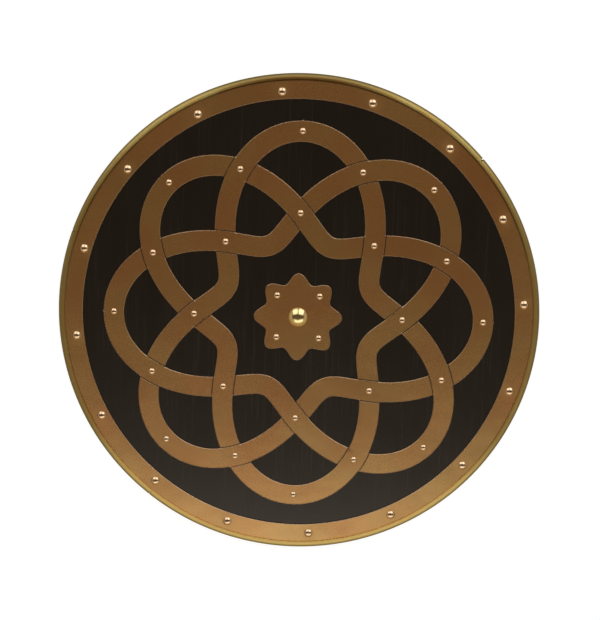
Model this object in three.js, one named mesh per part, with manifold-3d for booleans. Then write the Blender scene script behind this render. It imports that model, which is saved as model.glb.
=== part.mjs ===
// A round wooden shield, 610 mm across, lying face up on its back.
//
// A flat black board carries a band of bronze sheet round its rim and, inside it, an interlaced ring of
// eight loops cut from the same sheet, with a small rosette in the middle. A brass edging in three
// lengths is rolled over the edge of board and band. Its ends meet in open butt joints, and the widest
// one has sprung into a notch. Domed brass nails hold the sheets, and a large dome sits in the centre.
//
// Millimetres, +Z up out of the face. The origin is on the shield's axis, in the plane that it lies on.
// Angles run anticlockwise from +X, seen from the front.

import * as THREE from "three";
import { mergeVertices } from "three/addons/utils/BufferGeometryUtils.js";
import Module from "manifold-3d";

const wasm = await Module();
wasm.setup();

// Driving dimensions
const SHIELD_RADIUS = 305;
const BOARD_THICKNESS = 10;
const SHEET_THICKNESS = 1;
const CLEARANCE = 0.3; // between pieces that touch
const ROUND_SIDES = 60; // facets round the full circle
const SEAM_TOLERANCE = 0.002; // for taking out the seams that joining leaves on flat faces

// Rolled edging: a thin round bead, open towards the shield's middle
const EDGING_WALL = 1;
const EDGING_HALF_WIDTH = 6.4;
const EDGING_HALF_HEIGHT = 7.2;
const EDGING_OUTSIDE = [-105, -90, -60, -30, 0, 30, 60, 90, 105]; // round the bead, from back to face
const EDGING_INSIDE = [105, 85, 45, 0, -45, -85, -105];
const EDGING_CENTRE_RADIUS = SHIELD_RADIUS - EDGING_HALF_WIDTH;

// Its joints: where each length starts, and the gap's width at the lips and at the shield's rim
const EDGING_JOINTS = [
  { name: "edging_upper", start: 42.5, lipGap: 0.3, rimGap: 3.2 },
  { name: "edging_left", start: 160.5, lipGap: 0.3, rimGap: 1.6 },
  { name: "edging_lower", start: 232, lipGap: 0.3, rimGap: 1.2 },
];

// Heights above the plane that the shield lies on
const STACK = BOARD_THICKNESS + CLEARANCE + SHEET_THICKNESS;
const BOARD_BACK = EDGING_HALF_HEIGHT - STACK / 2;
const BOARD_FACE = BOARD_BACK + BOARD_THICKNESS;
const SHEET_BACK = BOARD_FACE + CLEARANCE;
const SHEET_FACE = SHEET_BACK + SHEET_THICKNESS;
const NAIL_SEAT = SHEET_FACE + CLEARANCE;

// Board, and the band of sheet round its rim, both reaching under the edging
const BOARD_RADIUS = 299.4;
const BAND_INNER_RADIUS = 273.5;

// Interlaced ring: one strap that winds three times round and makes eight loops
const STRAP_WIDTH = 26;
const STRAP_MEAN_RADIUS = 166;
const STRAP_SWING = 68; // how far its middle line swings out and in from the mean radius
const LOOP_COUNT = 8;
const WINDING_COUNT = 3;
const STEPS_PER_LOOP = 33;
const FIRST_LOOP = 90;

// Engraved lines beside the strap that runs on top at each crossing
const LINE_WIDTH = 1.6;
const LINE_DEPTH = 0.45;
const LINE_HALF_LENGTH = 20;
const LINE_STEPS = 2;

// Rosette in the middle
const ROSETTE_MEAN_RADIUS = 50;
const ROSETTE_LOBE = 6;
const ROSETTE_STEPS = 64;

// Nails: domed heads on square, tapered shanks. Head and shank are radii, dome and length are heights.
const RIM_NAIL = { head: 5.7, dome: 2.8, shank: 1.6, length: 9, sides: 8, steps: 2 };
const SHEET_NAIL = { head: 4.3, dome: 2.1, shank: 1.6, length: 9, sides: 8, steps: 2 };
const CENTRE_NAIL = { head: 12.2, dome: 6, shank: 2.4, length: 9, sides: 20, steps: 5 };
const HOLE_SPARE_DEPTH = 0.4;

// The rim nails were spaced by eye, on a circle that is a little off centre.
const RIM_NAIL_ANGLES = [
  4.9, 27.5, 49.9, 72.5, 95.4, 117.5, 140.3, 163.7, 186.6, 208.7, 231, 252.7, 274.2, 296.3, 319.1, 342.1,
];
const RIM_NAIL_CIRCLE = 284.4;
const RIM_NAIL_CIRCLE_SHIFT = 1.65;
const RIM_NAIL_CIRCLE_SHIFTED_TO = -51;
const ROSETTE_NAIL_COUNT = 4;
const ROSETTE_NAIL_CIRCLE = 38;
const FIRST_ROSETTE_NAIL = 45;

const radians = THREE.MathUtils.degToRad;
const polar = (radius, degrees) =>
  new THREE.Vector2(radius * Math.cos(radians(degrees)), radius * Math.sin(radians(degrees)));

// Solids: closed meshes, joined and cut

function solidFrom(geometry) {
  const bare = geometry.clone();
  bare.deleteAttribute("normal");
  bare.deleteAttribute("uv");
  const merged = mergeVertices(bare, 1e-4);
  return new wasm.Manifold(
    new wasm.Mesh({
      numProp: 3,
      vertProperties: new Float32Array(merged.attributes.position.array),
      triVerts: new Uint32Array(merged.index.array),
    }),
  );
}

function geometryFrom(solid) {
  const mesh = solid.asOriginal().simplify(SEAM_TOLERANCE).getMesh();
  const geometry = new THREE.BufferGeometry();
  geometry.setAttribute("position", new THREE.BufferAttribute(mesh.vertProperties, 3));
  geometry.setIndex(new THREE.BufferAttribute(mesh.triVerts, 1));
  geometry.computeVertexNormals();
  return geometry;
}

// A profile of [radius, height] points, turned about the shield's axis. It runs anticlockwise, with
// radius to the right and height up.
function turned(profile, sides) {
  const points = profile.map(([radius, height]) => new THREE.Vector2(radius, height));
  return new THREE.LatheGeometry(points, sides).rotateX(Math.PI / 2);
}

function plate(shape, low, high) {
  return new THREE.ExtrudeGeometry(shape, { depth: high - low, bevelEnabled: false }).translate(0, 0, low);
}

// Rolled edging

// Points on one wall of the bead, at a depth under its outer surface
const beadArc = (depth, angles) =>
  angles.map((angle) => [
    EDGING_CENTRE_RADIUS + (EDGING_HALF_WIDTH - depth) * Math.cos(radians(angle)),
    EDGING_HALF_HEIGHT + (EDGING_HALF_HEIGHT - depth) * Math.sin(radians(angle)),
  ]);

// The gap at a joint: a wedge that widens from the bead's middle outwards, and runs on past the rim
function jointWedge({ start, lipGap, rimGap }) {
  const inner = EDGING_CENTRE_RADIUS - 2 * EDGING_HALF_WIDTH;
  const outer = EDGING_CENTRE_RADIUS + 2 * EDGING_HALF_WIDTH;
  const outerHalf = rimGap - lipGap / 2;
  const wedge = new THREE.Shape([
    new THREE.Vector2(inner, -lipGap / 2),
    new THREE.Vector2(EDGING_CENTRE_RADIUS, -lipGap / 2),
    new THREE.Vector2(outer, -outerHalf),
    new THREE.Vector2(outer, outerHalf),
    new THREE.Vector2(EDGING_CENTRE_RADIUS, lipGap / 2),
    new THREE.Vector2(inner, lipGap / 2),
  ]);
  return plate(wedge, -1, 2 * EDGING_HALF_HEIGHT + 1).rotateZ(radians(start));
}

// The lengths of edging, in the order of EDGING_JOINTS, each from its own joint to the next
function edgingLengths() {
  const outside = beadArc(0, EDGING_OUTSIDE);
  const inside = beadArc(EDGING_WALL, EDGING_INSIDE);
  let bead = solidFrom(turned([...outside, ...inside, outside[0]], ROUND_SIDES));
  for (const joint of EDGING_JOINTS) {
    bead = bead.subtract(solidFrom(jointWedge(joint)));
  }
  const lengths = bead.decompose();
  return EDGING_JOINTS.map(({ name, start }) => {
    const probe = polar(EDGING_CENTRE_RADIUS, start + 30);
    const reach = 2 * EDGING_HALF_WIDTH;
    const probeBox = solidFrom(
      new THREE.BoxGeometry(reach, reach, reach).translate(probe.x, probe.y, EDGING_HALF_HEIGHT),
    );
    const own = lengths.find((length) => length.intersect(probeBox).volume() > 0);
    return { name, geometry: geometryFrom(own) };
  });
}

// Interlaced ring

const LOOP_TURN = (360 * WINDING_COUNT) / LOOP_COUNT;

// The strap's middle line at an angle that runs through all its windings
function strapRadius(turn) {
  return STRAP_MEAN_RADIUS + STRAP_SWING * Math.cos(radians((turn * LOOP_COUNT) / WINDING_COUNT));
}

const strapPoint = (turn) => polar(strapRadius(turn), FIRST_LOOP + turn);

// A point beside the middle line, a given way to its outer side
function besideStrap(turn, offset) {
  const along = strapPoint(turn + 0.01).sub(strapPoint(turn - 0.01)).normalize();
  return strapPoint(turn).add(new THREE.Vector2(along.y, -along.x).multiplyScalar(offset));
}

// A strip that follows the strap, between two offsets from its middle line
function strapStrip(from, to, steps, offsets, low, high) {
  const [near, far] = offsets.map((offset) => {
    const side = [];
    for (let i = 0; i <= steps; i++) {
      side.push(besideStrap(from + ((to - from) * i) / steps, offset));
    }
    return side;
  });
  return solidFrom(plate(new THREE.Shape([...near, ...far.reverse()]), low, high));
}

// The strap crosses itself a sixth and a third of a loop before and after each loop's tip. It runs
// over and under in turn: over a third before the tip, and over again a sixth after it.
function crossingsOnTop() {
  const turns = [];
  for (let loop = 0; loop < LOOP_COUNT; loop++) {
    const tip = loop * LOOP_TURN;
    turns.push(tip - LOOP_TURN / 3, tip + LOOP_TURN / 6);
  }
  return turns;
}

function engravedLines() {
  const lines = [];
  for (const turn of crossingsOnTop()) {
    const strapPerDegree = strapPoint(turn + 0.5).distanceTo(strapPoint(turn - 0.5));
    const half = LINE_HALF_LENGTH / strapPerDegree;
    for (const side of [-1, 1]) {
      const offsets = [(side * STRAP_WIDTH) / 2, side * (STRAP_WIDTH / 2 + LINE_WIDTH)];
      const low = SHEET_FACE - LINE_DEPTH;
      lines.push(strapStrip(turn - half, turn + half, LINE_STEPS, offsets, low, SHEET_FACE + 1));
    }
  }
  return wasm.Manifold.union(lines);
}

// The strap is laid in lengths that don't cross themselves, one for each loop, which are then joined.
function interlacedRingSolid() {
  const lengths = [];
  for (let loop = 0; loop < LOOP_COUNT; loop++) {
    const offsets = [-STRAP_WIDTH / 2, STRAP_WIDTH / 2];
    const start = loop * LOOP_TURN;
    lengths.push(
      strapStrip(start, start + LOOP_TURN, STEPS_PER_LOOP, offsets, SHEET_BACK, SHEET_FACE),
    );
  }
  return wasm.Manifold.union(lengths).subtract(engravedLines());
}

// Rosette: a round plate with one soft lobe for each loop of the ring
function rosetteGeometry() {
  const outline = [];
  for (let i = 0; i < ROSETTE_STEPS; i++) {
    const angle = (360 * i) / ROSETTE_STEPS;
    const lobes = Math.cos(radians(LOOP_COUNT * (angle - FIRST_LOOP)));
    outline.push(polar(ROSETTE_MEAN_RADIUS + ROSETTE_LOBE * lobes, angle));
  }
  return plate(new THREE.Shape(outline), SHEET_BACK, SHEET_FACE);
}

// Nails

function rimNailPlaces() {
  return RIM_NAIL_ANGLES.map((angle, i) => {
    const towards = Math.cos(radians(angle - RIM_NAIL_CIRCLE_SHIFTED_TO));
    const at = polar(RIM_NAIL_CIRCLE + RIM_NAIL_CIRCLE_SHIFT * towards, angle);
    return { name: `rim_nail_${i + 1}`, kind: RIM_NAIL, at };
  });
}

// One nail at the tip of each loop, and one at each crossing of the strap
function ringNailPlaces() {
  const halfPitch = 180 / LOOP_COUNT;
  const circles = [
    { label: "loop", radius: STRAP_MEAN_RADIUS + STRAP_SWING, start: FIRST_LOOP },
    { label: "outer_crossing", radius: STRAP_MEAN_RADIUS + STRAP_SWING / 2, start: FIRST_LOOP + halfPitch },
    { label: "inner_crossing", radius: STRAP_MEAN_RADIUS - STRAP_SWING / 2, start: FIRST_LOOP },
  ];
  const places = [];
  for (const { label, radius, start } of circles) {
    for (let i = 0; i < LOOP_COUNT; i++) {
      const at = polar(radius, start + (i * 360) / LOOP_COUNT);
      places.push({ name: `${label}_nail_${i + 1}`, kind: SHEET_NAIL, at });
    }
  }
  return places;
}

function rosetteNailPlaces() {
  const places = [{ name: "centre_nail", kind: CENTRE_NAIL, at: polar(0, 0) }];
  for (let i = 0; i < ROSETTE_NAIL_COUNT; i++) {
    const angle = FIRST_ROSETTE_NAIL + (i * 360) / ROSETTE_NAIL_COUNT;
    places.push({ name: `rosette_nail_${i + 1}`, kind: SHEET_NAIL, at: polar(ROSETTE_NAIL_CIRCLE, angle) });
  }
  return places;
}

// A nail with its head's flat underside at z = 0 and its shank below
function nailGeometry({ head, dome, shank, length, sides, steps }) {
  const ball = (head * head + dome * dome) / (2 * dome);
  const rim = Math.asin(head / ball);
  const profile = [[0, 0]];
  for (let i = 0; i < steps; i++) {
    const angle = rim * (1 - i / steps);
    profile.push([ball * Math.sin(angle), dome - ball * (1 - Math.cos(angle))]);
  }
  profile.push([0, dome]);
  const rod = new THREE.ConeGeometry(shank, length + dome / 2, 4)
    .rotateX(-Math.PI / 2)
    .translate(0, 0, (dome / 2 - length) / 2);
  return geometryFrom(solidFrom(turned(profile, sides)).add(solidFrom(rod)));
}

// A piece with a square hole for each nail that goes through it, down to the level "low"
function drilled(solid, places, low) {
  const drills = places.map(({ kind, at }) => {
    const width = Math.SQRT2 * (kind.shank + CLEARANCE);
    const depth = SHEET_FACE + 1 - low;
    const drill = new THREE.BoxGeometry(width, width, depth)
      .rotateZ(Math.PI / 4)
      .translate(at.x, at.y, low + depth / 2);
    return solidFrom(drill);
  });
  return geometryFrom(solid.subtract(wasm.Manifold.union(drills)));
}

// Materials
const finish = (colour, roughness, metalness) =>
  new THREE.MeshStandardMaterial({ color: colour, roughness, metalness });
const BLACK_WOOD = finish(0x1d1a17, 0.6, 0);
const BRONZE_SHEET = finish(0x8a5f35, 0.4, 1);
const BRASS_EDGING = finish(0xb08d3e, 0.25, 1);
const BRASS_NAIL = finish(0xe0c48a, 0.18, 1);

// Assembly
const shield = new THREE.Group();

function addPiece(name, geometry, material, x = 0, y = 0, z = 0) {
  const mesh = new THREE.Mesh(geometry, material);
  mesh.name = name;
  mesh.position.set(x, y, z);
  shield.add(mesh);
}

const rimNails = rimNailPlaces();
const ringNails = ringNailPlaces();
const rosetteNails = rosetteNailPlaces();
const nails = [...rimNails, ...ringNails, ...rosetteNails];

const boardDisc = turned(
  [[0, BOARD_BACK], [BOARD_RADIUS, BOARD_BACK], [BOARD_RADIUS, BOARD_FACE], [0, BOARD_FACE]],
  ROUND_SIDES,
);
const bandRing = turned(
  [
    [BAND_INNER_RADIUS, SHEET_BACK],
    [BOARD_RADIUS, SHEET_BACK],
    [BOARD_RADIUS, SHEET_FACE],
    [BAND_INNER_RADIUS, SHEET_FACE],
    [BAND_INNER_RADIUS, SHEET_BACK],
  ],
  ROUND_SIDES,
);
const holeBottom = NAIL_SEAT - RIM_NAIL.length - HOLE_SPARE_DEPTH;

addPiece("board", drilled(solidFrom(boardDisc), nails, holeBottom), BLACK_WOOD);
addPiece("rim_band", drilled(solidFrom(bandRing), rimNails, holeBottom), BRONZE_SHEET);
addPiece("interlaced_ring", drilled(interlacedRingSolid(), ringNails, holeBottom), BRONZE_SHEET);
addPiece("rosette", drilled(solidFrom(rosetteGeometry()), rosetteNails, holeBottom), BRONZE_SHEET);
for (const { name, geometry } of edgingLengths()) {
  addPiece(name, geometry, BRASS_EDGING);
}
for (const { name, kind, at } of nails) {
  addPiece(name, nailGeometry(kind), BRASS_NAIL, at.x, at.y, NAIL_SEAT);
}

export default shield;
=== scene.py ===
"""A round shield with a black board, bronze sheet work, brass edging and brass nails, lying face up.

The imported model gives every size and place. This script gives the pieces their fine shapes and their
finishes, and adds a pale floor, a dim room, soft lights and the camera. Lengths are in metres and colours
are linear, and angles run anticlockwise from +X, seen from the front.
"""

import math
import random

import bpy
from mathutils import Matrix, Vector, noise


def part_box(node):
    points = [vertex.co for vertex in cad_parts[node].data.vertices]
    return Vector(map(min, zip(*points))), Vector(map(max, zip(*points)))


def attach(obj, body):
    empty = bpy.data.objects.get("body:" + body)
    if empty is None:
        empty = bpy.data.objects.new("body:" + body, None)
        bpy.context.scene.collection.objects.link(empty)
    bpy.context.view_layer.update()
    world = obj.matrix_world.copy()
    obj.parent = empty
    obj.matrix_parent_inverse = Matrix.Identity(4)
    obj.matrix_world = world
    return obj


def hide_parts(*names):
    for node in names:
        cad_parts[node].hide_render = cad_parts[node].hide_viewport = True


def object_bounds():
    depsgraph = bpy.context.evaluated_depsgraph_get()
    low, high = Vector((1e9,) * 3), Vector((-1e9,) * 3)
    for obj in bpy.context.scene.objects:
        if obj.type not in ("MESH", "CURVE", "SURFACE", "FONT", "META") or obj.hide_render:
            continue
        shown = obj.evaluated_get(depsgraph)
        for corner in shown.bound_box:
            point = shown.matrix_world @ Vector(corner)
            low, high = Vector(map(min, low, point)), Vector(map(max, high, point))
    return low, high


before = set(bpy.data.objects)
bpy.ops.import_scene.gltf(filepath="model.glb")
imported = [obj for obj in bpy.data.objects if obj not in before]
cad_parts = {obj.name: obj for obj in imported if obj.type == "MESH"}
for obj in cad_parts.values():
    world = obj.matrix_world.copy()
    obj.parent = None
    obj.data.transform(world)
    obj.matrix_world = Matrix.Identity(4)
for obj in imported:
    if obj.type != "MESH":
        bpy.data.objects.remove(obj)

bl_info = {
    "name": "Round Shield",
    "version": (1, 0, 0),
    "blender": (4, 5, 0),
    "location": "3D View > Sidebar > Shield",
    "description": "Builds a round shield's board, sheet work, edging and nails on its packed frame",
    "category": "Object",
}

MM = 0.001
CAD_BOX = [list(corner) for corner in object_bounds()]

# Places that the frame gives
SHIELD_RADIUS = CAD_BOX[1][0]
BOARD_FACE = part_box("board")[1].z
SHEET_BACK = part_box("rim_band")[0].z
SHEET_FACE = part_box("rim_band")[1].z
BAND_OUTER_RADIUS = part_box("rim_band")[1].x
EDGING_HALF_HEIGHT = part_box("edging_lower")[1].z / 2

# Rim band and edging
BAND_INNER_RADIUS = 273.5 * MM
EDGING_HALF_WIDTH = 6.4 * MM
EDGING_WALL = 1 * MM
EDGING_CURL = 105  # degrees that the bead curls round, either way from straight out
EDGING_FULLNESS = 2.4  # 2 is an ellipse, and more is squarer
EDGING_CENTRE_RADIUS = SHIELD_RADIUS - EDGING_HALF_WIDTH
JOINT_STRAIGHT = 1.8 * MM  # how far past the bead's crown a joint stays narrow
EDGING_OVERSHOOT = 1.0  # degrees that a length is rolled too long at each end before it is cut

# Each length of edging: where it starts, and the gap there at its lips and at the shield's rim
EDGING_LENGTHS = [
    ("edging_upper", 42.5, 0.3 * MM, 3.2 * MM),
    ("edging_left", 160.5, 0.3 * MM, 1.6 * MM),
    ("edging_lower", 232.0, 0.3 * MM, 1.2 * MM),
]

# Interlaced ring: one strap that winds three times round and makes eight loops
LOOP_COUNT = 8
WINDING_COUNT = 3
FIRST_LOOP = 90
LOOP_TURN = 360 * WINDING_COUNT / LOOP_COUNT
STRAP_MEAN_RADIUS = 166 * MM
STRAP_SWING = 68 * MM
LINE_HALF_LENGTH = 20 * MM
LOOP_LAP = 0.1  # degrees that neighbouring loops lap over each other before they are joined

# Rosette
ROSETTE_MEAN_RADIUS = 50 * MM
ROSETTE_LOBE = 6 * MM

# Nails: radius and height of each head, and the shank under it
SHEET_NAIL = (4.3 * MM, 2.1 * MM)
RIM_NAIL = (5.7 * MM, 2.8 * MM)
CENTRE_NAIL = (12.2 * MM, 6 * MM)
NAIL_FULLNESS = 2.6  # 2 is about a ball's dome, and more is flatter in the middle
SHANK_RADIUS = 1.1 * MM
SHANK_LENGTH = 8 * MM
SHANK_TIP = 0.1  # width of the shank's tip, as a share of its top

# Photograph: its size in pixels, and the camera that took it
PHOTO_WIDTH, PHOTO_HEIGHT = 600, 620
FOCAL_PIXELS = 1449
SENSOR = 36
CAMERA_PLACE = Vector((0.04837, 0.32875, 1.81729))
CAMERA_RIGHT = Vector((0.99920395, 0.02623012, -0.03005736))
CAMERA_UP = Vector((-0.03106113, 0.98433013, -0.17357827))

# Dark colour of the dirt and the painted crevice shade beside the edging
GRIME_AND_SHADE = (0.05, 0.02, 0.004)

# Floor
FLOOR_SIZE = 12
FLOOR_GREY = (0.2, 0.2, 0.2, 1)
FLOOR_GLOW = 0.88

# Softboxes: place, width, depth, power in watts and colour
SOFTBOXES = {
    "near_softbox": ((0.55, -1.97, 2.26), 4.6, 1.8, 36, (0.85, 0.91, 1.0)),
    "far_right_softbox": ((2.0, 2.43, 1.76), 3.4, 3.46, 76, (0.95, 0.96, 1.0)),
    "far_left_softbox": ((-2.0, 2.43, 1.76), 3.4, 3.46, 61, (0.95, 0.96, 1.0)),
}

# Light of the room round the softboxes
ROOM_CEILING = (0.109, 0.074, 0.044)
ROOM_FAR_WALL = (0.30, 0.27, 0.22)
ROOM_NEAR_WALL = (0.58, 0.48, 0.31)
ROOM_SIDE_WALLS = (0.55, 0.48, 0.38)
ROOM_FLOOR = (0.34, 0.30, 0.20)

# The same light in turn round the room: 0.25 is level on the near side, 0.5 is overhead and 0.75 is far
ROOM_TURN = (
    (0.24, ROOM_FLOOR),
    (0.27, ROOM_NEAR_WALL),
    (0.38, ROOM_NEAR_WALL),
    (0.45, ROOM_CEILING),
    (0.55, ROOM_CEILING),
    (0.62, ROOM_FAR_WALL),
    (0.73, ROOM_FAR_WALL),
    (0.76, ROOM_FLOOR),
)

# Where the side walls begin and are full, as shares of a direction that point sideways
SIDE_WALL_START = 0.80
SIDE_WALL_FULL = 0.95


# Modelling helpers


def select_only(*pieces):
    bpy.ops.object.select_all(action="DESELECT")
    for piece in pieces:
        piece.select_set(True)
    bpy.context.view_layer.objects.active = pieces[0]


def edit(piece, mode="VERT"):
    """Opens a piece for editing with everything in it selected."""
    select_only(piece)
    bpy.ops.object.mode_set(mode="EDIT")
    bpy.ops.mesh.select_mode(type=mode)
    bpy.ops.mesh.select_all(action="SELECT")


def close():
    bpy.ops.object.mode_set(mode="OBJECT")


def settle(piece):
    """Puts a piece's place into its mesh."""
    select_only(piece)
    bpy.ops.object.transform_apply(location=True, rotation=True, scale=True)


def apply_modifier(piece, kind, **settings):
    modifier = piece.modifiers.new(kind.title(), kind)
    for name, value in settings.items():
        setattr(modifier, name, value)
    select_only(piece)
    bpy.ops.object.modifier_apply(modifier=modifier.name)


def soften(piece, width, segments=1, sharper_than=40):
    """Bevels the edges that are sharper than an angle, and rounds only what is meant to be round."""
    apply_modifier(
        piece,
        "BEVEL",
        width=width,
        segments=segments,
        limit_method="ANGLE",
        angle_limit=math.radians(sharper_than),
        use_clamp_overlap=False,
    )
    select_only(piece)
    bpy.ops.object.shade_smooth_by_angle(angle=math.radians(32))


def combine(piece, others, operation):
    """Joins other solids to a piece, or cuts them out of it."""
    group = bpy.data.collections.new("Joining")
    bpy.context.scene.collection.children.link(group)
    for other in others:
        group.objects.link(other)
    apply_modifier(
        piece, "BOOLEAN", operation=operation, operand_type="COLLECTION", collection=group, solver="EXACT"
    )
    for other in others:
        bpy.data.objects.remove(other)
    bpy.data.collections.remove(group)


def hand_in(piece, name, nodes, material):
    """Names a finished piece, gives it its finish and lets it stand for its nodes."""
    piece.name = name
    piece.data.name = name
    piece.data.materials.clear()
    piece.data.materials.append(material)
    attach(piece, "root")
    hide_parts(*nodes)


def polar(radius, degrees, height=0.0):
    angle = math.radians(degrees)
    return Vector((radius * math.cos(angle), radius * math.sin(angle), height))


# Shader helpers


class Wire:
    """A socket that a material's arithmetic can be written with."""

    def __init__(self, recipe, socket):
        self.recipe = recipe
        self.socket = socket

    def _math(self, operation, first, second=0.0):
        return self.recipe.node("ShaderNodeMath", {"operation": operation}, {0: first, 1: second})

    def __add__(self, other):
        return self._math("ADD", self, other)

    def __sub__(self, other):
        return self._math("SUBTRACT", self, other)

    def __rsub__(self, other):
        return self._math("SUBTRACT", other, self)

    def __mul__(self, other):
        return self._math("MULTIPLY", self, other)

    def __pow__(self, other):
        return self._math("POWER", self, other)

    def __abs__(self):
        return self._math("ABSOLUTE", self)

    __radd__ = __add__


class Recipe:
    """A material that is written step by step round one principled shader."""

    def __init__(self, name, **constants):
        self.material = bpy.data.materials.new(name)
        self.material.use_nodes = True
        self.tree = self.material.node_tree
        self.shader = self.tree.nodes["Principled BSDF"]
        for socket, value in constants.items():
            self.shader.inputs[socket.replace("_", " ")].default_value = value

    def node(self, kind, settings=None, inputs=None, output=0):
        made = self.tree.nodes.new(kind)
        for name, value in (settings or {}).items():
            setattr(made, name, value)
        for socket, value in (inputs or {}).items():
            self._feed(made.inputs[socket], value)
        return Wire(self, made.outputs[output])

    def _feed(self, socket, value):
        if isinstance(value, Wire):
            self.tree.links.new(value.socket, socket)
        else:
            socket.default_value = value

    def place(self, scale=(1.0, 1.0, 1.0), shift=(0.0, 0.0, 0.0)):
        """Object coordinates, stretched and shifted."""
        coordinates = self.node("ShaderNodeTexCoord", output="Object")
        inputs = {"Vector": coordinates, "Location": shift, "Scale": scale}
        return self.node("ShaderNodeMapping", inputs=inputs)

    def axes(self):
        """The place on the piece, axis by axis."""
        coordinates = self.node("ShaderNodeTexCoord", output="Object")
        split = self.tree.nodes.new("ShaderNodeSeparateXYZ")
        self.tree.links.new(coordinates.socket, split.inputs[0])
        return [Wire(self, axis) for axis in split.outputs]

    def facing_up(self):
        """1 on faces that look straight up or down, and 0 on walls."""
        geometry = self.tree.nodes.new("ShaderNodeNewGeometry")
        split = self.tree.nodes.new("ShaderNodeSeparateXYZ")
        self.tree.links.new(geometry.outputs["True Normal"], split.inputs[0])
        return abs(Wire(self, split.outputs[2]))

    def cloud(self, size, detail=3.0, roughness=0.5, stretch=(1.0, 1.0, 1.0), shift=(0.0, 0.0, 0.0)):
        """Soft noise whose lumps are about the given size."""
        scale = [s / size for s in stretch]
        return self.node(
            "ShaderNodeTexNoise",
            inputs={
                "Vector": self.place(scale, shift),
                "Scale": 1.0,
                "Detail": detail,
                "Roughness": roughness,
            },
        )

    def between(self, value, low, high):
        """0 under low, 1 over high, and a soft step between."""
        return self.node(
            "ShaderNodeMapRange",
            {"interpolation_type": "SMOOTHSTEP"},
            {"Value": value, "From Min": low, "From Max": high},
        )

    def mix(self, share, first, second):
        """A blend of two colours, from the first at 0 to the second at 1."""
        made = self.tree.nodes.new("ShaderNodeMix")
        made.data_type = "RGBA"
        colours = [socket for socket in made.inputs if socket.type == "RGBA"]
        self._feed(made.inputs[0], share)
        for socket, value in zip(colours, (first, second)):
            self._feed(socket, value if isinstance(value, Wire) else (*value, 1.0))
        return Wire(self, next(socket for socket in made.outputs if socket.type == "RGBA"))

    def bump(self, height, depth, over=None):
        """Relief of the given depth, on top of another one if there is one."""
        inputs = {"Height": height, "Distance": depth, "Strength": 1.0}
        if over is not None:
            inputs["Normal"] = over
        return self.node("ShaderNodeBump", inputs=inputs)

    def finish(self, **inputs):
        for name, value in inputs.items():
            self._feed(self.shader.inputs[name.replace("_", " ")], value)
        return self.material


# Settings that a user would change


class ShieldSizes(bpy.types.PropertyGroup):
    strap_width: bpy.props.FloatProperty(
        name="Strap Width",
        description="Width of the interlaced strap",
        default=26 * MM,
        unit="LENGTH",
    )
    line_width: bpy.props.FloatProperty(
        name="Line Width",
        description="Width of the engraved lines at the crossings",
        default=1.6 * MM,
        unit="LENGTH",
    )
    line_depth: bpy.props.FloatProperty(
        name="Line Depth",
        description="Depth of the engraved lines",
        default=0.45 * MM,
        unit="LENGTH",
    )
    sheet_edge: bpy.props.FloatProperty(
        name="Sheet Edge",
        description="How far the edges of the bronze sheet are filed off",
        default=0.8 * MM,
        unit="LENGTH",
    )
    nail_lean: bpy.props.FloatProperty(
        name="Nail Lean",
        description="How far a nail may lean, as driven by hand",
        default=math.radians(2.5),
        subtype="ANGLE",
    )


class ShieldColours(bpy.types.PropertyGroup):
    board: bpy.props.FloatVectorProperty(
        name="Board",
        description="Black stain of the board",
        default=(0.0010, 0.0013, 0.0014),
        subtype="COLOR",
    )
    grain: bpy.props.FloatVectorProperty(
        name="Grain",
        description="Paler grain that shows through the stain",
        default=(0.004, 0.0038, 0.0034),
        subtype="COLOR",
    )
    bronze: bpy.props.FloatVectorProperty(
        name="Bronze",
        description="Brown bronze of the sheet work",
        default=(0.72, 0.385, 0.126),
        subtype="COLOR",
    )
    brass: bpy.props.FloatVectorProperty(
        name="Brass",
        description="Polished brass of the edging",
        default=(0.62, 0.48, 0.16),
        subtype="COLOR",
    )
    nails: bpy.props.FloatVectorProperty(
        name="Nails",
        description="Pale metal of the small nails",
        default=(0.66, 0.47, 0.29),
        subtype="COLOR",
    )
    centre_nail: bpy.props.FloatVectorProperty(
        name="Centre Nail",
        description="Yellow brass of the nail in the middle",
        default=(0.72, 0.58, 0.28),
        subtype="COLOR",
    )


# Finishes


def board_finish(colours):
    """Black stain under thin satin varnish, with upright grain and a few rubbed marks."""
    wood = Recipe("Black Stained Board", Specular_IOR_Level=0.95, Specular_Tint=(0.95, 0.79, 0.63, 1.0))
    broad = wood.cloud(55 * MM, 2.0, stretch=(1.6, 0.10, 1.0))
    fine = wood.cloud(3.2 * MM, 4.0, 0.65, stretch=(1.0, 0.022, 1.0))
    pores = wood.cloud(1.3 * MM, 2.0, 0.5, stretch=(1.0, 0.05, 1.0), shift=(3.0, 7.0, 0.0))
    lines = wood.between(fine, 0.52, 0.74)
    dust = wood.cloud(90 * MM, 3.0, 0.6, shift=(1.0, 4.0, 0.0))
    marks = wood.cloud(5 * MM, 3.0, 0.7, stretch=(1.0, 0.12, 1.0), shift=(9.0, 2.0, 0.0))
    rubbed = wood.between(marks, 0.70, 0.78)
    shade = lines * 0.35 + wood.between(broad, 0.35, 0.75) * 0.4 + dust * 0.15
    base = wood.mix(shade, colours.board, colours.grain)
    base = wood.mix(rubbed * wood.between(dust, 0.5, 0.62) * 0.12, base, (0.085, 0.07, 0.055))
    relief = wood.bump(fine * 0.5 + pores * 0.5, 0.05 * MM)
    roughness = 0.22 + lines * 0.05 + dust * 0.06
    return wood.finish(Base_Color=base, Roughness=roughness, Normal=relief)


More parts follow.
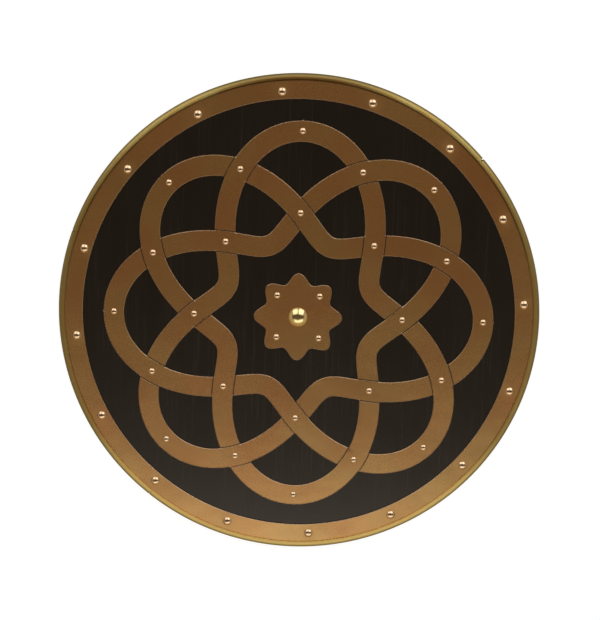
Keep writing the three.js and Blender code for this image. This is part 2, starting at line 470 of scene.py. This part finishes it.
def shade_and_grime_beside_lip(recipe, start, full):
    """Painted crevice shade and dirt between two radii beside the edging's lip, most of it at the top, which
    is lit less.
    """
    x, y, _ = recipe.axes()
    radius = (x * x + y * y) ** 0.5
    top = recipe.between(y, -0.3 * SHIELD_RADIUS, 0.6 * SHIELD_RADIUS)
    uneven = recipe.cloud(30 * MM, 2.0, 0.5, shift=(8.0, 8.0, 0.0))
    return recipe.between(radius, start, full) * top * (0.5 + uneven * 0.7)


def sheet_finish(name, colours, smudged=False):
    """Brown bronze sheet: satin, mottled with tarnish, and paler on its cut edges."""
    sheet = Recipe(name, Metallic=1.0, Coat_Weight=0.5, Coat_Roughness=0.3)
    patch = sheet.cloud(85 * MM, 2.0, 0.45)
    fleck = sheet.cloud(7 * MM, 4.0, 0.6, shift=(2.0, 5.0, 0.0))
    haze = sheet.cloud(140 * MM, 2.0, 0.5, shift=(6.0, 1.0, 0.0))
    red = [channel * factor for channel, factor in zip(colours.bronze, (1.0, 0.90, 0.90))]
    gold = [channel * factor for channel, factor in zip(colours.bronze, (1.0, 1.10, 1.10))]
    dark = [channel * 0.55 for channel in colours.bronze]
    base = sheet.mix(sheet.between(patch, 0.25, 0.75), red, gold)
    base = sheet.mix(sheet.between(fleck, 0.50, 0.80) * 0.15, base, dark)
    roughness = 0.225 + fleck * 0.04 + haze * 0.05
    if smudged:
        # Painted shade round the rim nails darkens the band there.
        smudge = sheet.node("ShaderNodeAttribute", {"attribute_name": "smudge"}, output="Fac")
        base = sheet.mix(smudge * 0.55, base, dark)
        # Painted crevice shade and dirt on the band beside the edging's lip.
        lip_shade_and_grime = shade_and_grime_beside_lip(sheet, EDGING_CENTRE_RADIUS - 3.4 * MM, EDGING_CENTRE_RADIUS - 2.2 * MM)
        base = sheet.mix(lip_shade_and_grime, base, GRIME_AND_SHADE)
        roughness = roughness + smudge * 0.12 + lip_shade_and_grime * 0.2
    facing_up = sheet.facing_up()
    filed = 1.0 - sheet.between(facing_up, 0.80, 0.97)
    base = sheet.mix(filed * 0.8, base, (0.38, 0.29, 0.21))
    roughness = roughness + filed * 0.15
    groove = 1.0 - sheet.between(sheet.axes()[2], SHEET_FACE - 0.35 * MM, SHEET_FACE - 0.10 * MM)
    base = sheet.mix(groove * (1.0 - filed) * 0.75, base, (0.03, 0.015, 0.006))
    rolling = sheet.cloud(0.9 * MM, 2.0, 0.5, stretch=(1.0, 0.12, 1.0))
    waves = sheet.cloud(60 * MM, 2.0, 0.4, shift=(4.0, 4.0, 0.0))
    relief = sheet.bump(rolling, 0.004 * MM, over=sheet.bump(waves, 0.5 * MM))
    return sheet.finish(Base_Color=base, Roughness=roughness, Normal=relief)


def edging_finish(colours):
    """Polished brass: uneven, with painted shade at the top and sides and low outside, a painted sheen at
    the bottom, and painted shade with dirt inside the lip.
    """
    brass = Recipe("Polished Brass Edging", Metallic=1.0)
    patch = brass.cloud(26 * MM, 3.0, 0.55)
    fleck = brass.cloud(4 * MM, 3.0, 0.6, shift=(2.0, 2.0, 0.0))
    warm = [channel * factor for channel, factor in zip(colours.brass, (1.0, 0.86, 0.75))]
    dark = [channel * factor for channel, factor in zip(colours.brass, (0.45, 0.45, 0.5))]
    x, y, _ = brass.axes()
    radius = (x * x + y * y) ** 0.5
    base = brass.mix(brass.between(patch, 0.40, 0.66), colours.brass, warm)
    # Painted sheen: the edging is brighter and rougher at the bottom, where the light falls.
    bottom_sheen = 1.0 - brass.between(y, -0.9 * SHIELD_RADIUS, -0.2 * SHIELD_RADIUS)
    base = brass.mix(bottom_sheen * 0.8, base, (0.76, 0.54, 0.19))
    base = brass.mix(brass.between(fleck, 0.55, 0.85) * 0.15, base, dark)
    # Painted shade: the edging is darker at the sides and at the very top.
    sides = 1.0 - brass.between(abs(y), 0.45 * SHIELD_RADIUS, 0.75 * SHIELD_RADIUS)
    top = brass.between(y, 0.88 * SHIELD_RADIUS, 0.98 * SHIELD_RADIUS)
    base = brass.mix(sides * 0.65 + top * 0.95, base, (0.20, 0.10, 0.022))
    # Painted shade: the bead is darker low on its outside.
    low = brass.between(radius, EDGING_CENTRE_RADIUS, EDGING_CENTRE_RADIUS + 4.4 * MM)
    base = brass.mix(low * 0.8, base, dark)
    # Painted crevice shade and dirt on the inside of the lip.
    lip = shade_and_grime_beside_lip(brass, EDGING_CENTRE_RADIUS - 0.2 * MM, EDGING_CENTRE_RADIUS - 1.4 * MM)
    base = brass.mix(lip, base, GRIME_AND_SHADE)
    roughness = 0.40 + fleck * 0.08 + low * 0.1 + bottom_sheen * 0.12
    waves = brass.cloud(45 * MM, 2.0, 0.4)
    relief = brass.bump(waves, 0.6 * MM)
    return brass.finish(Base_Color=base, Roughness=roughness, Normal=relief)


def nail_finish(name, colour):
    """Bright metal, with painted shade where the head meets the sheet."""
    brass = Recipe(name, Metallic=1.0)
    fleck = brass.cloud(2.5 * MM, 3.0, 0.6)
    height = brass.axes()[2] - SHEET_FACE
    # Painted shade on the lowest millimetre of the head, where it meets the sheet.
    foot_shade = 1.0 - brass.between(height, 0.1 * MM, 1.0 * MM)
    dark = [channel * factor for channel, factor in zip(colour, (0.30, 0.25, 0.20))]
    base = brass.mix(brass.between(fleck, 0.5, 0.8) * 0.2, colour, dark)
    base = brass.mix(foot_shade * 0.75, base, dark)
    roughness = 0.16 + fleck * 0.10 + foot_shade * 0.2
    return brass.finish(Base_Color=base, Roughness=roughness)


# Board


class SHIELD_OT_board(bpy.types.Operator):
    """Stains the board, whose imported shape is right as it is"""

    bl_idname = "shield.board"
    bl_label = "Board"

    def execute(self, context):
        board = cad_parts["board"]
        board.data.materials.clear()
        board.data.materials.append(board_finish(context.scene.shield_colours))
        return {"FINISHED"}


# Rim band


def smudges_round_nails(band):
    """Marks the band darker round each rim nail, more on one side, as painted shade round the nail heads."""
    nails = [nail_place(f"rim_nail_{number}") for number in range(1, 17)]
    smudge = band.data.attributes.new("smudge", "FLOAT", "POINT")
    for vertex, mark in zip(band.data.vertices, smudge.data):
        spot = vertex.co.xy
        near = min((spot - nail.xy).length for nail in nails)
        uneven = 0.6 + 0.8 * noise.noise(vertex.co * 60)
        mark.value = max(0.0, min(1.0, uneven * math.exp(-((near / (9 * MM)) ** 2))))


class SHIELD_OT_rim_band(bpy.types.Operator):
    """Makes the flat ring of bronze sheet round the rim"""

    bl_idname = "shield.rim_band"
    bl_label = "Rim Band"

    def execute(self, context):
        sizes = context.scene.shield_sizes
        bpy.ops.mesh.primitive_circle_add(
            vertices=480, radius=BAND_INNER_RADIUS, location=(0, 0, SHEET_FACE)
        )
        band = context.object
        settle(band)
        edit(band, "EDGE")
        courses = 8
        step = (BAND_OUTER_RADIUS - BAND_INNER_RADIUS) / courses
        for course in range(courses):
            radius = BAND_INNER_RADIUS + step * course
            bpy.ops.mesh.extrude_region_move()
            bpy.ops.transform.resize(value=((radius + step) / radius,) * 2 + (1,), center_override=(0, 0, 0))
        bpy.ops.mesh.select_all(action="SELECT")
        bpy.ops.mesh.extrude_region_move(TRANSFORM_OT_translate={"value": (0, 0, SHEET_BACK - SHEET_FACE)})
        bpy.ops.mesh.select_all(action="SELECT")
        bpy.ops.mesh.normals_make_consistent(inside=False)
        close()
        soften(band, sizes.sheet_edge)
        smudges_round_nails(band)
        finish = sheet_finish("Bronze Rim Band", context.scene.shield_colours, smudged=True)
        hand_in(band, "bronze_rim_band", ["rim_band"], finish)
        return {"FINISHED"}


# Interlaced ring


def strap_point(turn):
    """A point on the strap's middle line, at an angle that runs through all its windings."""
    swing = math.cos(math.radians(turn * LOOP_COUNT / WINDING_COUNT))
    return polar(STRAP_MEAN_RADIUS + STRAP_SWING * swing, FIRST_LOOP + turn)


def beside_strap(turn, offset):
    along = (strap_point(turn + 0.01) - strap_point(turn - 0.01)).normalized()
    return strap_point(turn) + Vector((along.y, -along.x, 0)) * offset


def lay_strip(start, end, steps, near, far, low, high):
    """A flat grid, laid along the strap between two offsets from its middle line and given a thickness."""
    bpy.ops.mesh.primitive_grid_add(x_subdivisions=steps, y_subdivisions=1, size=2)
    strip = bpy.context.object
    for vertex in strip.data.vertices:
        along = (vertex.co.x + 1) / 2
        across = (vertex.co.y + 1) / 2
        vertex.co = beside_strap(start + (end - start) * along, near + (far - near) * across)
        vertex.co.z = low
    edit(strip, "FACE")
    bpy.ops.mesh.extrude_region_move(TRANSFORM_OT_translate={"value": (0, 0, high - low)})
    bpy.ops.mesh.select_all(action="SELECT")
    bpy.ops.mesh.normals_make_consistent(inside=False)
    close()
    return strip


def turned_copies(piece):
    """Copies of a piece that carry on round the ring, one for each of the other loops."""
    copies = []
    for loop in range(1, LOOP_COUNT):
        select_only(piece)
        bpy.ops.object.duplicate(linked=False)
        copy = bpy.context.object
        copy.data.transform(Matrix.Rotation(math.radians(LOOP_TURN * loop), 4, "Z"))
        copies.append(copy)
    return copies


class SHIELD_OT_interlaced_ring(bpy.types.Operator):
    """Lays the strap loop by loop, joins the loops and engraves the lines of its crossings"""

    bl_idname = "shield.interlaced_ring"
    bl_label = "Interlaced Ring"

    def execute(self, context):
        sizes = context.scene.shield_sizes
        half = sizes.strap_width / 2
        ring = lay_strip(-LOOP_LAP, LOOP_TURN + LOOP_LAP, 96, -half, half, SHEET_BACK, SHEET_FACE)
        combine(ring, turned_copies(ring), "UNION")
        soften(ring, sizes.sheet_edge)

        lines = []
        # The strap runs on top a third of a loop before each tip, and again a sixth after it.
        for crossing in (-LOOP_TURN / 3, LOOP_TURN / 6):
            per_degree = (strap_point(crossing + 0.5) - strap_point(crossing - 0.5)).length
            reach = LINE_HALF_LENGTH / per_degree
            for side in (-1, 1):
                line = lay_strip(
                    crossing - reach,
                    crossing + reach,
                    12,
                    side * half,
                    side * (half + sizes.line_width),
                    SHEET_FACE - sizes.line_depth,
                    SHEET_FACE + MM,
                )
                lines += [line, *turned_copies(line)]
        combine(ring, lines, "DIFFERENCE")
        soften(ring, 0.1 * MM, sharper_than=60)
        finish = sheet_finish("Bronze Sheet Work", context.scene.shield_colours)
        hand_in(ring, "bronze_interlaced_ring", ["interlaced_ring"], finish)
        return {"FINISHED"}


# Rosette


class SHIELD_OT_rosette(bpy.types.Operator):
    """Makes the lobed bronze plate in the middle"""

    bl_idname = "shield.rosette"
    bl_label = "Rosette"

    def execute(self, context):
        bpy.ops.mesh.primitive_circle_add(
            vertices=256, radius=ROSETTE_MEAN_RADIUS, fill_type="NGON", location=(0, 0, SHEET_BACK)
        )
        plate = context.object
        settle(plate)
        for vertex in plate.data.vertices:
            angle = math.degrees(math.atan2(vertex.co.y, vertex.co.x))
            lobes = math.cos(math.radians(LOOP_COUNT * (angle - FIRST_LOOP)))
            vertex.co.xy = polar(ROSETTE_MEAN_RADIUS + ROSETTE_LOBE * lobes, angle).xy
        edit(plate, "FACE")
        bpy.ops.mesh.extrude_region_move(TRANSFORM_OT_translate={"value": (0, 0, SHEET_FACE - SHEET_BACK)})
        bpy.ops.mesh.select_all(action="SELECT")
        bpy.ops.mesh.normals_make_consistent(inside=False)
        close()
        soften(plate, context.scene.shield_sizes.sheet_edge)
        finish = bpy.data.materials["Bronze Sheet Work"]
        hand_in(plate, "bronze_rosette", ["rosette"], finish)
        return {"FINISHED"}


# Edging


def squared(share):
    """Turns a circle's cosine or sine into that of a slightly squarer ring."""
    return math.copysign(abs(share) ** (2 / EDGING_FULLNESS), share)


def bead_section():
    """The bead's cut face, upright on +X: its outside from back to face, and its inside back again."""
    outside = range(-EDGING_CURL, EDGING_CURL + 1, 7)
    inside = range(EDGING_CURL, -EDGING_CURL - 1, -15)
    points = []
    for depth, sweep in ((0.0, outside), (EDGING_WALL, inside)):
        for angle in sweep:
            out = (EDGING_HALF_WIDTH - depth) * squared(math.cos(math.radians(angle)))
            up = (EDGING_HALF_HEIGHT - depth) * squared(math.sin(math.radians(angle)))
            points.append((EDGING_CENTRE_RADIUS + out, EDGING_HALF_HEIGHT + up))
    bpy.ops.mesh.primitive_circle_add(vertices=len(points), radius=1, fill_type="NGON")
    section = bpy.context.object
    for vertex, (radius, height) in zip(section.data.vertices, points):
        vertex.co = (radius, 0, height)
    return section


def cut_end(length, joint, side):
    """Cuts one end of a length of edging square, and then its outer half at a slant.

    Side is 1 for the start of a length and -1 for its end.
    """
    _, angle, lip_gap, rim_gap = joint
    across = polar(1, angle + 90) * side
    crown = polar(EDGING_CENTRE_RADIUS + JOINT_STRAIGHT, angle) + across * lip_gap / 2
    rim = polar(SHIELD_RADIUS, angle) + across * rim_gap / 2
    slant = (rim - crown).cross(Vector((0, 0, 1))).normalized()
    if slant.dot(across) < 0:
        slant.negate()
    for normal in (across, slant):
        edit(length)
        bpy.ops.mesh.bisect(plane_co=crown, plane_no=normal, clear_inner=True, use_fill=True)
        close()


class SHIELD_OT_edging(bpy.types.Operator):
    """Rolls the three lengths of brass edging and cuts their ends to the joints"""

    bl_idname = "shield.edging"
    bl_label = "Edging"

    def execute(self, context):
        finish = edging_finish(context.scene.shield_colours)
        for number, joint in enumerate(EDGING_LENGTHS):
            following = EDGING_LENGTHS[(number + 1) % len(EDGING_LENGTHS)]
            name, start = joint[:2]
            span = (following[1] - start) % 360
            length = bead_section()
            length.rotation_euler.z = math.radians(start - EDGING_OVERSHOOT)
            settle(length)
            edit(length)
            # The axis points down, which rolls the length anticlockwise as seen from the front.
            bpy.ops.mesh.spin(
                steps=round(span / 1.2),
                angle=math.radians(span + 2 * EDGING_OVERSHOOT),
                center=(0, 0, 0),
                axis=(0, 0, -1),
            )
            bpy.ops.mesh.select_all(action="SELECT")
            bpy.ops.mesh.remove_doubles(threshold=1e-6)
            bpy.ops.mesh.normals_make_consistent(inside=False)
            close()
            cut_end(length, joint, 1)
            cut_end(length, following, -1)
            soften(length, 0.15 * MM)
            hand_in(length, f"brass_{name}", [name], finish)
        return {"FINISHED"}


# Nails


def nail_place(node):
    """The middle of a nail's head, on the sheet under it."""
    low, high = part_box(node)
    return Vector(((low.x + high.x) / 2, (low.y + high.y) / 2, SHEET_FACE))


def model_nail(radius, height, segments):
    """A domed head, flatter in the middle, with a flat underside and a tapered shank, on z = 0."""
    ball = (radius**2 + height**2) / (2 * height)
    bpy.ops.mesh.primitive_uv_sphere_add(
        segments=segments, ring_count=segments, radius=ball, location=(0, 0, height - ball)
    )
    nail = bpy.context.object
    settle(nail)
    edit(nail)
    bpy.ops.mesh.bisect(plane_co=(0, 0, 0), plane_no=(0, 0, 1), clear_inner=True, use_fill=True)
    close()
    for vertex in nail.data.vertices:
        vertex.co.z = height * max(0.0, 1 - (vertex.co.xy.length / radius) ** NAIL_FULLNESS)
    bpy.ops.object.mode_set(mode="EDIT")
    bpy.ops.mesh.select_mode(type="FACE")
    bpy.ops.mesh.inset(thickness=radius - SHANK_RADIUS)
    bpy.ops.mesh.extrude_region_move(TRANSFORM_OT_translate={"value": (0, 0, -SHANK_LENGTH)})
    bpy.ops.transform.resize(value=(SHANK_TIP, SHANK_TIP, 1.0), center_override=(0, 0, 0))
    bpy.ops.mesh.select_all(action="SELECT")
    bpy.ops.mesh.normals_make_consistent(inside=False)
    close()
    soften(nail, 0.25 * MM, 2)
    return nail


class SHIELD_OT_nails(bpy.types.Operator):
    """Models one nail of each size and drives a copy of it in at each place"""

    bl_idname = "shield.nails"
    bl_label = "Nails"

    def execute(self, context):
        colours = context.scene.shield_colours
        pale = nail_finish("Pale Brass Nails", colours.nails)
        yellow = nail_finish("Yellow Brass Centre Nail", colours.centre_nail)
        lean = context.scene.shield_sizes.nail_lean
        chance = random.Random(7)
        patterns = {
            "rim_nail": model_nail(*RIM_NAIL, 28),
            "sheet_nail": model_nail(*SHEET_NAIL, 24),
            "centre_nail": model_nail(*CENTRE_NAIL, 48),
        }
        for node in sorted(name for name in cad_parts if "nail" in name):
            kind = node if node in patterns else "rim_nail" if node.startswith("rim") else "sheet_nail"
            select_only(patterns[kind])
            bpy.ops.object.duplicate(linked=False)
            nail = context.object
            tilt = Matrix.Rotation(chance.uniform(-lean, lean), 4, "X")
            tilt @= Matrix.Rotation(chance.uniform(-lean, lean), 4, "Y")
            tilt @= Matrix.Rotation(chance.uniform(0, math.tau), 4, "Z")
            nail.data.transform(Matrix.Translation(nail_place(node)) @ tilt)
            finish = yellow if node == "centre_nail" else pale
            hand_in(nail, f"brass_{node}", [node], finish)
        for pattern in patterns.values():
            bpy.data.objects.remove(pattern)
        return {"FINISHED"}


# Stage


def add_softbox(name, place, width, depth, power, colour):
    """A soft light that faces the part of the X axis that is nearest to it."""
    light = bpy.data.lights.new(name, "AREA")
    light.color = colour
    light.shape = "RECTANGLE"
    light.size = width
    light.size_y = depth
    light.energy = power
    box = bpy.data.objects.new(name, light)
    box.location = place
    box.rotation_euler = Vector((0, -place[1], -place[2])).to_track_quat("-Z", "Y").to_euler()
    bpy.context.scene.collection.objects.link(box)


def dim_room():
    """Surroundings that are dark overhead, with a pale wall on each of the four sides."""
    room = bpy.data.worlds.new("Room")
    room.use_nodes = True
    nodes = room.node_tree.nodes
    links = room.node_tree.links
    direction = nodes.new("ShaderNodeTexCoord")
    split = nodes.new("ShaderNodeSeparateXYZ")
    links.new(direction.outputs["Generated"], split.inputs[0])
    turn = nodes.new("ShaderNodeMath")
    turn.operation = "ARCTAN2"
    links.new(split.outputs[1], turn.inputs[0])
    links.new(split.outputs[2], turn.inputs[1])
    share = nodes.new("ShaderNodeMath")
    share.operation = "MULTIPLY_ADD"
    share.inputs[1].default_value = 1 / math.tau
    share.inputs[2].default_value = 0.5
    links.new(turn.outputs[0], share.inputs[0])
    light = nodes.new("ShaderNodeValToRGB")
    ramp = light.color_ramp
    ramp.interpolation = "EASE"
    links.new(share.outputs[0], light.inputs[0])
    while len(ramp.elements) < len(ROOM_TURN):
        ramp.elements.new(1.0)
    for element, (position, colour) in zip(ramp.elements, ROOM_TURN):
        element.position = position
        element.color = (*colour, 1)
    sideways = nodes.new("ShaderNodeMath")
    sideways.operation = "ABSOLUTE"
    links.new(split.outputs[0], sideways.inputs[0])
    wall = nodes.new("ShaderNodeMapRange")
    wall.interpolation_type = "SMOOTHSTEP"
    wall.inputs["From Min"].default_value = SIDE_WALL_START
    wall.inputs["From Max"].default_value = SIDE_WALL_FULL
    links.new(sideways.outputs[0], wall.inputs["Value"])
    mix = nodes.new("ShaderNodeMix")
    mix.data_type = "RGBA"
    links.new(wall.outputs[0], mix.inputs["Factor"])
    first, second = [socket for socket in mix.inputs if socket.type == "RGBA"]
    links.new(light.outputs[0], first)
    second.default_value = (*ROOM_SIDE_WALLS, 1)
    result = next(socket for socket in mix.outputs if socket.type == "RGBA")
    links.new(result, nodes["Background"].inputs["Color"])
    return room


class SHIELD_OT_stage(bpy.types.Operator):
    """Adds the pale floor, the soft lights and the camera of the photograph"""

    bl_idname = "shield.stage"
    bl_label = "Stage"

    def execute(self, context):
        scene = context.scene
        bpy.ops.mesh.primitive_plane_add(size=FLOOR_SIZE, location=(0, 0, 0))
        floor = context.object
        floor.name = "floor"
        pale = Recipe("Pale Floor", Roughness=0.9)
        pale.shader.inputs["Base Color"].default_value = FLOOR_GREY
        pale.shader.inputs["Emission Color"].default_value = (1, 1, 1, 1)
        pale.shader.inputs["Emission Strength"].default_value = FLOOR_GLOW
        floor.data.materials.append(pale.material)
        # The metal mirrors the dim room instead, or its edges would turn white beside the floor.
        floor.visible_glossy = False

        for name, settings in SOFTBOXES.items():
            add_softbox(name, *settings)
        scene.world = dim_room()
        scene.view_settings.view_transform = "Standard"

        camera = bpy.data.cameras.new("camera")
        camera.sensor_fit = "AUTO"
        camera.sensor_width = SENSOR
        camera.lens = SENSOR * FOCAL_PIXELS / max(PHOTO_WIDTH, PHOTO_HEIGHT)
        holder = bpy.data.objects.new("camera", camera)
        back = CAMERA_RIGHT.cross(CAMERA_UP)
        turn = Matrix((CAMERA_RIGHT, CAMERA_UP, back)).transposed().to_4x4()
        holder.matrix_world = Matrix.Translation(CAMERA_PLACE) @ turn
        scene.collection.objects.link(holder)
        scene.camera = holder
        return {"FINISHED"}


# Panel and registration

OPERATORS = (
    SHIELD_OT_board,
    SHIELD_OT_rim_band,
    SHIELD_OT_interlaced_ring,
    SHIELD_OT_rosette,
    SHIELD_OT_edging,
    SHIELD_OT_nails,
    SHIELD_OT_stage,
)


class SHIELD_PT_panel(bpy.types.Panel):
    bl_idname = "SHIELD_PT_panel"
    bl_label = "Shield"
    bl_space_type = "VIEW_3D"
    bl_region_type = "UI"
    bl_category = "Shield"

    def draw(self, context):
        for settings in (context.scene.shield_sizes, context.scene.shield_colours):
            for name in settings.__annotations__:
                self.layout.prop(settings, name)
        for operator in OPERATORS:
            self.layout.operator(operator.bl_idname)


CLASSES = (ShieldSizes, ShieldColours, *OPERATORS, SHIELD_PT_panel)


def register():
    for cls in CLASSES:
        bpy.utils.register_class(cls)
    bpy.types.Scene.shield_sizes = bpy.props.PointerProperty(type=ShieldSizes)
    bpy.types.Scene.shield_colours = bpy.props.PointerProperty(type=ShieldColours)


def unregister():
    del bpy.types.Scene.shield_colours
    del bpy.types.Scene.shield_sizes
    for cls in reversed(CLASSES):
        bpy.utils.unregister_class(cls)


def main():
    register()
    bpy.ops.object.select_all(action="DESELECT")
    for operator in OPERATORS:
        section, name = operator.bl_idname.split(".")
        getattr(getattr(bpy.ops, section), name)()


if __name__ == "__main__":
    main()
